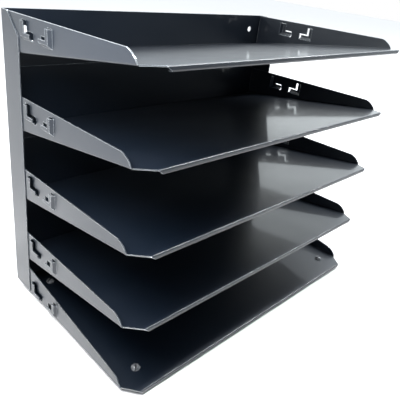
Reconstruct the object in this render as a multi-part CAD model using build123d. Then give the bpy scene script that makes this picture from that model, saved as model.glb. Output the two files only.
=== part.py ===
from build123d import *

import os
from math import cos, hypot, radians, sin

# Desktop file sorter, folded and spot-welded from sheet steel: one back panel with two side
# flanges, five letter trays and four push-in feet. Millimetres, +Z up, front towards -Y, rear
# towards +Y. The origin is on the desk, under the middle of the sorter.

# Overall sizes
panel_width = 381.0              # outside of the two side flanges
overall_depth = 222.0            # rear of the back panel to the front of the base tray
panel_height = 302.5
sheet = 1.0                      # thickness of every folded sheet
bend_radius = 2.0                # outside radius of the side bends
foot_height = 5.0                # desk to the underside of the base tray
panel_lift = 0.8                 # base tray's floor surface to the bottom edge of the back panel

# Room that blanks and cutters have past the finished metal
rear_allowance = 20.0
cutter_margin = 5.0

# Back panel
flange_depth = 33.0
flange_corner_cut = 20.0         # 45 degree cut at the top front corner of each flange
hanging_hole_diameter = 7.0
hanging_hole_inset = 22.0        # from the outside of a flange
hanging_hole_height = 283.7      # from the bottom edge of the panel

# Trays. In a tray's own plane, reach runs forward along the floor surface from the rear of the
# sorter, and up is square to the floor.
tray_pitch = 74.8
tray_tilt = 8.6                  # degrees, front edge up; the base tray lies flat
lowest_tilted_rise = 39.5        # bottom edge of the panel to that tray's floor, at the rear
tilted_reach = 223.0
tilted_wing = {"rear": 38.4, "front": 11.1}
base_wing = {"rear": 36.8, "front": 10.4}
wing_top_reach = 195.5           # where the straight top edge of a wing ends
wing_end_reach = 207.0           # where the wing runs out at the floor
wing_nose_radius = 20.0
wing_rear_gap = 2.2              # clears the inside bend of the back panel
corner_cut = 14.4                # floor corner, measured along the front edge
lip_drop = 4.6                   # floor surface to the bottom of the front lip
lip_return = 4.0                 # folded back under the floor
lip_mitre = 1.25                 # sideways run of the mitred lip end for each unit of drop
fold_radius = 1.5                # outside radius of the front and rear folds
rear_flange_length = 15.7
rear_flange_inset = 6.0          # from the wing at each end

# Lanced tabs in the wings. They stand level with the desk: depths are from the rear of the
# sorter and heights from the floor line of a tilted tray, at the rear.
tab_offset = 3.0                 # how far a tab stands out from its wing
tab_slope = 2.8                  # run of the sloping wall that carries it
tab_top = 34.3
tab_foot_top = 24.5
tab_bottom = 18.6
slot_top = 34.8
slot_step = 26.4
base_tab_drop = 15.5             # the base tray's tabs sit this much lower
rear_tab = {"root": 39.5, "edge": 47.8, "slot": 49.2, "foot": 58.4, "end": 59.8}
front_tab = {"root": 93.2, "edge": 86.4, "slot": 85.0, "foot": 74.9, "end": 73.7}
relief_end = 60.9                # rounded relief hole at the foot of a rear tab
relief_width = 4.6

# Push-in feet
foot_inset = 27.5                # from the outside of a flange
foot_depths = {"rear": 29.0, "front": 196.0}
foot_diameter = 15.0
foot_base_diameter = 12.5
foot_hole_diameter = 6.4
foot_neck_diameter = 6.2
foot_head_diameter = 9.2
foot_head_height = 3.4
foot_barb_height = 0.85          # straight rim at the bottom of the head
foot_tip_diameter = 5.2
foot_rounding = 0.9              # bottom rim of the foot, and tip of its head
foot_split = 1.7
foot_split_rise = 0.68           # base tray's floor surface to the bottom of the split
foot_turns = (20, 115, 55, 160)  # which way each foot's split happens to face, degrees

# Levels and faces that follow from the sizes above
base_floor = foot_height + sheet        # desk to the floor surface of the base tray
panel_rise = base_floor + panel_lift    # desk to the bottom edge of the back panel
half_width = panel_width / 2
rear_y = overall_depth / 2
wing_face = half_width - sheet          # outer face of a wing, against the inside of the flange


def slab(x_range, y_range, z_range):
    """A box from its limits."""
    ranges = (x_range, y_range, z_range)
    size = [high - low for low, high in ranges]
    middle = [(high + low) / 2 for low, high in ranges]
    return Pos(*middle) * Box(*size)


def polygon(points):
    """A face from its corners."""
    return make_face(Polyline(*points, close=True))


def folded_section(points, radii, side):
    """The section of a folded sheet, from the line of one face and the side its metal is on."""
    face_line = FilletPolyline(*points, radius=radii)
    return make_face(face_line.wire().offset_2d(sheet, side=side))


def make_back_panel():
    """The back sheet, with a flange folded forward along each side and two hanging holes."""
    flange_y = rear_y - flange_depth
    outline = [
        (-half_width, flange_y),
        (-half_width, rear_y),
        (half_width, rear_y),
        (half_width, flange_y),
    ]
    section = folded_section(outline, bend_radius, Side.RIGHT)
    panel = extrude(Pos(0, 0, panel_rise) * section, panel_height)
    cut_side = flange_corner_cut * 2**0.5
    corner = Pos(0, flange_y, panel_rise + panel_height) * Rot(45, 0, 0)
    panel -= corner * Box(2 * panel_width, cut_side, cut_side)
    hole_x = half_width - hanging_hole_inset
    for x in (-hole_x, hole_x):
        hole = Pos(x, rear_y, panel_rise + hanging_hole_height) * Rot(90, 0, 0)
        panel -= hole * Cylinder(hanging_hole_diameter / 2, 4 * sheet)
    return panel


def wing_outline(wing):
    """The side view of a wing, in (y, up) of the tray's own plane."""
    slope = (wing["rear"] - wing["front"]) / wing_top_reach
    low = -2 * sheet
    rear_top = (rear_allowance, wing["rear"] + slope * rear_allowance)
    nose = (-wing_top_reach, wing["front"])
    runout = (-wing_end_reach, 0)
    nose_arc = RadiusArc(nose, runout, -wing_nose_radius)
    straights = Polyline(runout, (-wing_end_reach, low), (rear_allowance, low), rear_top, nose)
    return make_face(Wire(nose_arc.edges() + straights.edges()))


def make_channel(reach, wing):
    """The floor with its two upturned wings, before the rear and the front corners are cut."""
    top = wing["rear"] + rear_allowance
    outline = [(-wing_face, top), (-wing_face, -sheet), (wing_face, -sheet), (wing_face, top)]
    section = folded_section(outline, bend_radius, Side.LEFT)
    length = rear_allowance + reach - 2 * fold_radius
    channel = extrude(Plane.XZ.offset(-rear_allowance) * section, length)
    wings = extrude(Plane.YZ * wing_outline(wing), panel_width, both=True)
    floor = slab((-panel_width, panel_width), (-reach, rear_allowance), (-sheet, 0))
    return channel & (wings + floor)


def make_strip(reach, rear_fold, rear_fold_radius):
    """The rear flange, floor and returned front lip, folded from one width of sheet."""
    line = [
        (-reach + lip_return, -lip_drop),
        (-reach, -lip_drop),
        (-reach, 0),
        *rear_fold,
    ]
    radii = [fold_radius, fold_radius, rear_fold_radius]
    section = folded_section(line, radii, Side.RIGHT)
    half_span = wing_face - rear_flange_inset
    return extrude(Plane.YZ * section, half_span, both=True)


def cut_front_corners(tray, reach):
    """Cuts the floor's front corners across, and mitres the ends of the lip."""
    lip_x = half_width - corner_cut
    beyond = half_width + cutter_margin
    ahead = -reach - cutter_margin
    depth = lip_drop + sheet
    for hand in (-1, 1):
        corner = polygon(
            [
                (hand * beyond, -wing_end_reach),
                (hand * (wing_face - bend_radius), -wing_end_reach),
                (hand * lip_x, -reach),
                (hand * lip_x, ahead),
                (hand * beyond, ahead),
            ]
        )
        tray -= extrude(Pos(0, 0, -2 * depth) * corner, 4 * depth)
        mitre = polygon(
            [
                (hand * lip_x, -sheet),
                (hand * (lip_x - lip_mitre * depth), -sheet - depth),
                (hand * beyond, -sheet - depth),
                (hand * beyond, -sheet),
            ]
        )
        tray -= extrude(Plane.XZ.offset(reach - 2 * lip_return) * mitre, 3 * lip_return)
    return tray


def tab_outline(tab, inset, free_edges):
    """The L shape of a tab in (depth, height). Its root and bottom sides move in by inset."""
    tall_side, foot_end, step, top = free_edges
    forward = 1 if tab["root"] < tab["edge"] else -1
    root = tab["root"] + forward * inset
    bottom = tab_bottom + inset
    corners = [
        (root, bottom),
        (foot_end, bottom),
        (foot_end, step),
        (tall_side, step),
        (tall_side, top),
        (root, top),
    ]
    return [(rear_y - depth, height) for depth, height in corners]


def tab_loft(hand, floor_z, levels, outlines):
    """A solid between two outlines that lie at two distances out from a wing's outer face."""
    faces = []
    for level, outline in zip(levels, outlines):
        face = Plane.YZ.offset(hand * (wing_face + level)) * polygon(outline)
        faces.append(Pos(0, 0, floor_z) * face)
    return loft(faces, ruled=True)


def lance_tabs(tray, floor_z):
    """Presses the two tabs of each wing outwards, and opens the slots beside them."""
    wall = sheet * hypot(tab_slope, tab_offset) / tab_offset
    per_level = tab_slope / tab_offset
    boss_levels = (-sheet / 2, tab_offset)
    void_levels = (-2 * sheet, tab_offset - sheet)
    for hand in (-1, 1):
        for tab in (rear_tab, front_tab):
            tab_edges = (tab["edge"], tab["foot"], tab_foot_top, tab_top)
            slot_edges = (tab["slot"], tab["end"], slot_step, slot_top)
            boss = [tab_outline(tab, per_level * level, tab_edges) for level in boss_levels]
            void = [tab_outline(tab, per_level * level + wall, slot_edges) for level in void_levels]
            tray += tab_loft(hand, floor_z, boss_levels, boss)
            tray -= tab_loft(hand, floor_z, void_levels, void)
        relief_y = rear_y - relief_end + relief_width / 2
        relief_z = floor_z + (slot_step + tab_bottom) / 2
        relief = SlotOverall(slot_step - tab_bottom, relief_width, rotation=90)
        centre = (hand * (wing_face - sheet / 2), relief_y, relief_z)
        tray -= Pos(*centre) * extrude(Plane.YZ * relief, sheet, both=True)
    return tray


def place_tray(blank, tilt, floor_z):
    """Moves a tray from its own plane to its place in the sorter."""
    return Pos(0, rear_y, floor_z) * Rot(-tilt, 0, 0) * blank


def make_tray(reach, wing, tilt, floor_z, rear_fold, rear_fold_radius):
    """A tray in its place: the folded blank, trimmed level with the back panel."""
    channel = cut_front_corners(make_channel(reach, wing), reach)
    strip = cut_front_corners(make_strip(reach, rear_fold, rear_fold_radius), reach)
    behind = (rear_y - wing_rear_gap, rear_y + 2 * rear_allowance)
    channel = place_tray(channel, tilt, floor_z)
    channel -= slab((-panel_width, panel_width), behind, (-panel_height, 2 * panel_height))
    return channel + place_tray(strip, tilt, floor_z)


def make_tilted_tray(floor_z):
    """A tray that slopes down to the rear, with its rear flange folded down the back panel."""
    slope = radians(tray_tilt)
    fold = (-sheet / cos(slope), 0)
    flange_depth_end = -sheet * cos(slope) + rear_flange_length * sin(slope)
    flange_up_end = -sheet * sin(slope) - rear_flange_length * cos(slope)
    rear_fold = [fold, (flange_depth_end, flange_up_end)]
    tray = make_tray(tilted_reach, tilted_wing, tray_tilt, floor_z, rear_fold, fold_radius)
    return lance_tabs(tray, floor_z)


def make_base_tray():
    """The lowest tray: it lies flat, its rear flange is folded up, and the feet push into it."""
    rear_fold = [(-2 * sheet, 0), (-2 * sheet, rear_flange_length)]
    inside_radius = fold_radius - sheet
    tray = make_tray(overall_depth, base_wing, 0, base_floor, rear_fold, inside_radius)
    tray = lance_tabs(tray, base_floor - base_tab_drop)
    for x, y in foot_places().values():
        tray -= Pos(x, y, base_floor) * Cylinder(foot_hole_diameter / 2, 4 * sheet)
    return tray


def foot_places():
    """Where each foot stands, by name."""
    x = half_width - foot_inset
    places = {}
    for end, depth in foot_depths.items():
        for side, foot_x in (("left", -x), ("right", x)):
            places[f"{end}_{side}"] = (foot_x, rear_y - depth)
    return places


def make_foot(turn):
    """A moulded bumper with a neck and a split, barbed head that snaps through the floor."""
    base_r, top_r = foot_base_diameter / 2, foot_diameter / 2
    neck_r, head_r, tip_r = foot_neck_diameter / 2, foot_head_diameter / 2, foot_tip_diameter / 2
    tip_z = base_floor + foot_head_height
    outline = [
        (0, 0),
        (base_r, 0),
        (top_r, foot_height),
        (neck_r, foot_height),
        (neck_r, base_floor),
        (head_r, base_floor),
        (head_r, base_floor + foot_barb_height),
        (tip_r, tip_z),
        (0, tip_z),
    ]
    foot = revolve(Plane.XZ * polygon(outline), Axis.Z)
    rims = foot.edges().filter_by(GeomType.CIRCLE)
    foot = fillet([edge for edge in rims if edge.center().Z in (0, tip_z)], foot_rounding)
    split_z = (base_floor + foot_split_rise, 2 * tip_z)
    split = slab((-foot_diameter, foot_diameter), (-foot_split / 2, foot_split / 2), split_z)
    return foot - Rot(0, 0, turn) * split


def write_part(shape, node):
    """Writes one piece to its own file."""
    export_step(shape, f"parts/{node}.step")


def main():
    os.makedirs("parts", exist_ok=True)
    write_part(make_back_panel(), "back_panel")
    write_part(make_base_tray(), "base_tray")
    lowest = panel_rise + lowest_tilted_rise
    for level, node in enumerate(("lower_tray", "middle_tray", "upper_tray", "top_tray")):
        write_part(make_tilted_tray(lowest + level * tray_pitch), node)
    for count, (name, place) in enumerate(foot_places().items()):
        foot = Pos(*place, 0) * make_foot(foot_turns[count])
        write_part(foot, f"foot_{name}")


main()
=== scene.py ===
import bpy
from mathutils import Matrix, Vector


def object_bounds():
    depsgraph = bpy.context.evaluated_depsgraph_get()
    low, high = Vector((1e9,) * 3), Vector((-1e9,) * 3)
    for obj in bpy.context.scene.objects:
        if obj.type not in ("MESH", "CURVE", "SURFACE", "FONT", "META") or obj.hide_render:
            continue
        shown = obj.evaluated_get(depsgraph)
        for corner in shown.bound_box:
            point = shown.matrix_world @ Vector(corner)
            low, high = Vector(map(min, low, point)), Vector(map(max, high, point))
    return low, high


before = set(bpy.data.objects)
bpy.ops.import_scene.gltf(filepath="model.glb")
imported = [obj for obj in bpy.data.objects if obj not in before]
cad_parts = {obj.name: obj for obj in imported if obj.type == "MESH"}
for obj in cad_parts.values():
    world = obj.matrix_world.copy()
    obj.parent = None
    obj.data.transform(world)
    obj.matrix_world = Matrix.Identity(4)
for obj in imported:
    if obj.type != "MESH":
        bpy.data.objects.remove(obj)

# Desktop file sorter in a white studio. Metres, +Z up, front towards -Y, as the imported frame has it.
# The sheet-metal pieces and the feet keep their CAD shapes. They get their finishes here.

# Camera: eye, and the directions it looks in and has to its right
EYE = Vector((-0.383, -0.3416, 0.3656))
FORWARD = Vector((0.6658, 0.6131, -0.4253))
RIGHT = Vector((0.7118, -0.6928, 0.1155))
SENSOR_MM = 36.0
LENS_MM = 42.2
SHIFT = (0.0, -0.033)

# Powder coat. Noise scales are per metre. A bump is a strength and a depth in metres.
MOTTLE = {"scale": 9.0, "detail": 4.0, "roughness": 0.6}
COAT_TONES = ((0.3, (0.0022, 0.0050, 0.0100, 1.0)), (0.7, (0.0036, 0.0064, 0.0120, 1.0)))
COAT_ROUGHNESS = (0.35, 0.43)
COAT_GRAIN = {"scale": 650.0, "detail": 4.0, "roughness": 0.8}
COAT_GRAIN_BUMP = (1.0, 0.00012)
COAT_WAVES = {"scale": 28.0, "detail": 2.0, "roughness": 0.5}
COAT_WAVES_BUMP = (0.3, 0.00002)
COAT_IOR = 1.5
COAT_SKIN = 0.45
COAT_SKIN_ROUGHNESS = 0.08

# Painted highlight along its sharp edges: there the coat turns near-white and metallic, standing in
# for the bright lines that rounded edges catch. How far the line reaches, the turn of the rounded
# normal (as a cosine) at which it starts and is full, and its tone and roughness
EDGE_REACH = 0.0005
EDGE_SAMPLES = 6
EDGE_STARTS = 0.98
EDGE_FULL = 0.86
EDGE_HIGHLIGHT_TONE = (0.90, 0.93, 0.95, 1.0)
EDGE_HIGHLIGHT_ROUGHNESS = 0.24

# Foot rubber. Its tones lie well above real black rubber: a painted sheen, so the feet look lit. A
# noise varies tone and roughness at random.
RUBBER_MOTTLE = {"scale": 340.0, "detail": 4.0, "roughness": 0.65}
RUBBER_TONES_AND_PAINTED_SHEEN = ((0.35, (0.10, 0.10, 0.105, 1.0)), (0.75, (0.17, 0.17, 0.175, 1.0)))
RUBBER_ROUGHNESS = (0.2, 0.34)
RUBBER_GRAIN = {"scale": 3200.0, "detail": 2.0, "roughness": 0.5}
RUBBER_GRAIN_BUMP = (0.4, 0.00001)
RUBBER_SKIN = 1.0
RUBBER_SKIN_IOR = 1.8
RUBBER_SKIN_ROUGHNESS = 0.12

# The range that most of a noise texture's values lie in
NOISE_RANGE = (0.3, 0.7)

# Studio: the camera sees the backdrop past the floor. The room lights the object and shows in its
# gloss, with a tone that is the product of one from front to rear and one from low to high.
FLOOR_HALF = 6.0
FLOOR_TONE = (0.76, 0.73, 0.72, 1.0)
FLOOR_ROUGHNESS = 0.9
BACKDROP_TONE = (1.0, 1.0, 1.0, 1.0)
ROOM_AROUND = ((0.12, (0.10, 0.125, 0.15, 1.0)), (0.62, (0.90, 0.97, 1.0, 1.0)))
ROOM_UPWARD = (
    (0.2, (0.92, 0.92, 0.92, 1.0)),
    (0.45, (0.36, 0.36, 0.38, 1.0)),
    (0.8, (0.92, 0.92, 0.92, 1.0)),
)
ROOM_GLOW = 2.4
LIGHT_TONE = (0.93, 0.97, 1.0)

# Soft boxes: place, point they face, length, breadth and watts
SOFT_BOXES = {
    "overhead": (Vector((0.85, 0.95, 1.7)), Vector((0.0, 0.0, 0.3)), 0.6, 0.6, 10.0),
    "pool": (Vector((-0.34, -0.05, 0.40)), Vector((-0.30, -0.02, 0.0)), 0.2, 0.2, 3.6),
    "rear_rim": (Vector((-0.5, 1.7, 1.1)), Vector((0.0, 0.0, 0.2)), 0.6, 0.1, 14.0),
    "side_strip": (Vector((1.3, -0.2, 1.6)), Vector((1.3, -0.15, 0.0)), 1.8, 0.08, 60.0),
}

STEEL_NODES = ("back_panel", "base_tray", "lower_tray", "middle_tray", "upper_tray", "top_tray")


def new_material(name):
    """A node material, its tree and its shader."""
    material = bpy.data.materials.new(name)
    material.use_nodes = True
    tree = material.node_tree
    return material, tree, tree.nodes["Principled BSDF"]


def noise(tree, coordinates, scale, detail, roughness):
    """A noise texture over the object's own metres."""
    node = tree.nodes.new("ShaderNodeTexNoise")
    node.inputs["Scale"].default_value = scale
    node.inputs["Detail"].default_value = detail
    node.inputs["Roughness"].default_value = roughness
    tree.links.new(coordinates, node.inputs["Vector"])
    return node.outputs["Fac"]


def ramp(tree, value, stops):
    """A colour ramp over the given (position, colour) stops."""
    node = tree.nodes.new("ShaderNodeValToRGB")
    first, last = node.color_ramp.elements
    first.position, first.color = stops[0]
    last.position, last.color = stops[-1]
    for position, colour in stops[1:-1]:
        node.color_ramp.elements.new(position).color = colour
    tree.links.new(value, node.inputs["Fac"])
    return node.outputs["Color"]


def spread(tree, value, low, high):
    """Maps a noise value from its usual range onto low to high."""
    node = tree.nodes.new("ShaderNodeMapRange")
    node.inputs["From Min"].default_value, node.inputs["From Max"].default_value = NOISE_RANGE
    node.inputs["To Min"].default_value = low
    node.inputs["To Max"].default_value = high
    tree.links.new(value, node.inputs["Value"])
    return node.outputs["Result"]


def bump(tree, height, strength, distance, below=None):
    """A bump layer, on top of another one if it is given."""
    node = tree.nodes.new("ShaderNodeBump")
    node.inputs["Strength"].default_value = strength
    node.inputs["Distance"].default_value = distance
    tree.links.new(height, node.inputs["Height"])
    if below is not None:
        tree.links.new(below, node.inputs["Normal"])
    return node.outputs["Normal"]


def place(tree):
    """Where a point is on the object, in metres."""
    return tree.nodes.new("ShaderNodeTexCoord").outputs["Object"]


def blend(tree, share, base, target, kind):
    """Moves a base socket towards a fixed target, of kind Color or Float, by a share of 0 to 1."""
    node = tree.nodes.new("ShaderNodeMix")
    node.data_type = "RGBA" if kind == "Color" else "FLOAT"
    sockets = {socket.identifier: socket for socket in (*node.inputs, *node.outputs)}
    tree.links.new(share, sockets["Factor_Float"])
    tree.links.new(base, sockets["A_" + kind])
    sockets["B_" + kind].default_value = target
    return sockets["Result_" + kind]


def edge_highlight_mask(tree):
    """The mask of the painted highlight along edges: 1 along the sharp edges and 0 on the faces, from
    how far the rounded normal turns away.
    """
    rounded = tree.nodes.new("ShaderNodeBevel")
    rounded.samples = EDGE_SAMPLES
    rounded.inputs["Radius"].default_value = EDGE_REACH
    turn = tree.nodes.new("ShaderNodeVectorMath")
    turn.operation = "DOT_PRODUCT"
    tree.links.new(rounded.outputs["Normal"], turn.inputs[0])
    tree.links.new(tree.nodes.new("ShaderNodeNewGeometry").outputs["Normal"], turn.inputs[1])
    share = tree.nodes.new("ShaderNodeMapRange")
    share.inputs["From Min"].default_value = EDGE_STARTS
    share.inputs["From Max"].default_value = EDGE_FULL
    tree.links.new(turn.outputs["Value"], share.inputs["Value"])
    return share.outputs["Result"]


def make_powder_coat():
    """Black gloss powder coat: a clear skin over a rougher, grained base, with a painted highlight at
    cut edges, where it turns near-white and metallic.
    """
    material, tree, shader = new_material("powder_coat")
    where = place(tree)
    mottle = noise(tree, where, **MOTTLE)
    highlight_share = edge_highlight_mask(tree)
    tone = ramp(tree, mottle, COAT_TONES)
    haze = spread(tree, mottle, *COAT_ROUGHNESS)
    waves = bump(tree, noise(tree, where, **COAT_WAVES), *COAT_WAVES_BUMP)
    grain = bump(tree, noise(tree, where, **COAT_GRAIN), *COAT_GRAIN_BUMP, waves)
    # Painted highlight: along sharp edges the tone goes near-white, the roughness lower and the
    # surface metallic.
    tree.links.new(blend(tree, highlight_share, tone, EDGE_HIGHLIGHT_TONE, "Color"), shader.inputs["Base Color"])
    tree.links.new(blend(tree, highlight_share, haze, EDGE_HIGHLIGHT_ROUGHNESS, "Float"), shader.inputs["Roughness"])
    tree.links.new(highlight_share, shader.inputs["Metallic"])
    tree.links.new(waves, shader.inputs["Coat Normal"])
    tree.links.new(grain, shader.inputs["Normal"])
    shader.inputs["IOR"].default_value = COAT_IOR
    shader.inputs["Coat Weight"].default_value = COAT_SKIN
    shader.inputs["Coat Roughness"].default_value = COAT_SKIN_ROUGHNESS
    return material


def make_foot_rubber():
    """Black moulded rubber with a painted sheen: its tones lie well above real black rubber. Satin,
    with fine moulding grain and a noise that varies tone and roughness at random.
    """
    material, tree, shader = new_material("foot_rubber")
    where = place(tree)
    rubber_mottle = noise(tree, where, **RUBBER_MOTTLE)
    grain = bump(tree, noise(tree, where, **RUBBER_GRAIN), *RUBBER_GRAIN_BUMP)
    # Painted sheen: the lifted tones make the feet look lit.
    tree.links.new(ramp(tree, rubber_mottle, RUBBER_TONES_AND_PAINTED_SHEEN), shader.inputs["Base Color"])
    tree.links.new(spread(tree, rubber_mottle, *RUBBER_ROUGHNESS), shader.inputs["Roughness"])
    tree.links.new(grain, shader.inputs["Normal"])
    shader.inputs["Coat Weight"].default_value = RUBBER_SKIN
    shader.inputs["Coat IOR"].default_value = RUBBER_SKIN_IOR
    shader.inputs["Coat Roughness"].default_value = RUBBER_SKIN_ROUGHNESS
    return material


def finish_piece(piece, material):
    """Gives a CAD piece its material in every slot."""
    if not piece.material_slots:
        piece.data.materials.append(material)
    for slot in piece.material_slots:
        slot.material = material


def make_floor():
    """A plain pale floor at the height the feet stand on."""
    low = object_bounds()[0]
    bpy.ops.mesh.primitive_plane_add(size=2 * FLOOR_HALF, location=(0, 0, low.z))
    floor = bpy.context.object
    floor.name = "studio_floor"
    material, _, shader = new_material("studio_floor")
    shader.inputs["Base Color"].default_value = FLOOR_TONE
    shader.inputs["Roughness"].default_value = FLOOR_ROUGHNESS
    floor.data.materials.append(material)


def make_world():
    """A white backdrop. Behind the camera the room is darker, and the black gloss mirrors that."""
    world = bpy.data.worlds.new("studio")
    world.use_nodes = True
    tree = world.node_tree
    backdrop = tree.nodes["Background"]
    backdrop.inputs["Color"].default_value = BACKDROP_TONE
    parts = tree.nodes.new("ShaderNodeSeparateXYZ")
    tree.links.new(tree.nodes.new("ShaderNodeTexCoord").outputs["Generated"], parts.inputs["Vector"])
    rearward = tree.nodes.new("ShaderNodeMapRange")
    rearward.inputs["From Min"].default_value = -1.0
    tree.links.new(parts.outputs["Y"], rearward.inputs["Value"])
    around = ramp(tree, rearward.outputs["Result"], ROOM_AROUND)
    upward = ramp(tree, parts.outputs["Z"], ROOM_UPWARD)
    tones = tree.nodes.new("ShaderNodeVectorMath")
    tones.operation = "MULTIPLY"
    tree.links.new(around, tones.inputs[0])
    tree.links.new(upward, tones.inputs[1])
    room = tree.nodes.new("ShaderNodeBackground")
    room.inputs["Strength"].default_value = ROOM_GLOW
    tree.links.new(tones.outputs["Vector"], room.inputs["Color"])
    seen = tree.nodes.new("ShaderNodeMixShader")
    straight = tree.nodes.new("ShaderNodeLightPath").outputs["Is Camera Ray"]
    tree.links.new(straight, seen.inputs["Fac"])
    tree.links.new(room.outputs["Background"], seen.inputs[1])
    tree.links.new(backdrop.outputs["Background"], seen.inputs[2])
    tree.links.new(seen.outputs["Shader"], tree.nodes["World Output"].inputs["Surface"])
    bpy.context.scene.world = world


def make_light(name, place_at, aim_at, length, breadth, power):
    """A soft box that faces a point, with its length level."""
    lamp = bpy.data.lights.new(name, "AREA")
    lamp.color = LIGHT_TONE
    lamp.shape = "RECTANGLE"
    lamp.size = length
    lamp.size_y = breadth
    lamp.energy = power
    box = bpy.data.objects.new(name, lamp)
    box.location = place_at
    box.rotation_euler = (aim_at - place_at).to_track_quat("-Z", "Y").to_euler()
    bpy.context.scene.collection.objects.link(box)


def make_camera():
    """The camera at the photograph's viewing angle."""
    camera = bpy.data.cameras.new("camera")
    camera.sensor_width = SENSOR_MM
    camera.lens = LENS_MM
    camera.shift_x, camera.shift_y = SHIFT
    eye = bpy.data.objects.new("camera", camera)
    back = -FORWARD.normalized()
    right = (RIGHT - RIGHT.dot(back) * back).normalized()
    up = back.cross(right)
    turn = Matrix((right, up, back)).transposed()
    eye.matrix_world = Matrix.Translation(EYE) @ turn.to_4x4()
    bpy.context.scene.collection.objects.link(eye)
    bpy.context.scene.camera = eye


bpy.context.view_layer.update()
powder_coat = make_powder_coat()
foot_rubber = make_foot_rubber()
for node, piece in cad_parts.items():
    if node in STEEL_NODES:
        finish_piece(piece, powder_coat)
    else:
        finish_piece(piece, foot_rubber)

make_floor()
make_world()
for name, box in SOFT_BOXES.items():
    make_light(name, *box)
make_camera()
bpy.context.scene.view_settings.view_transform = "Standard"
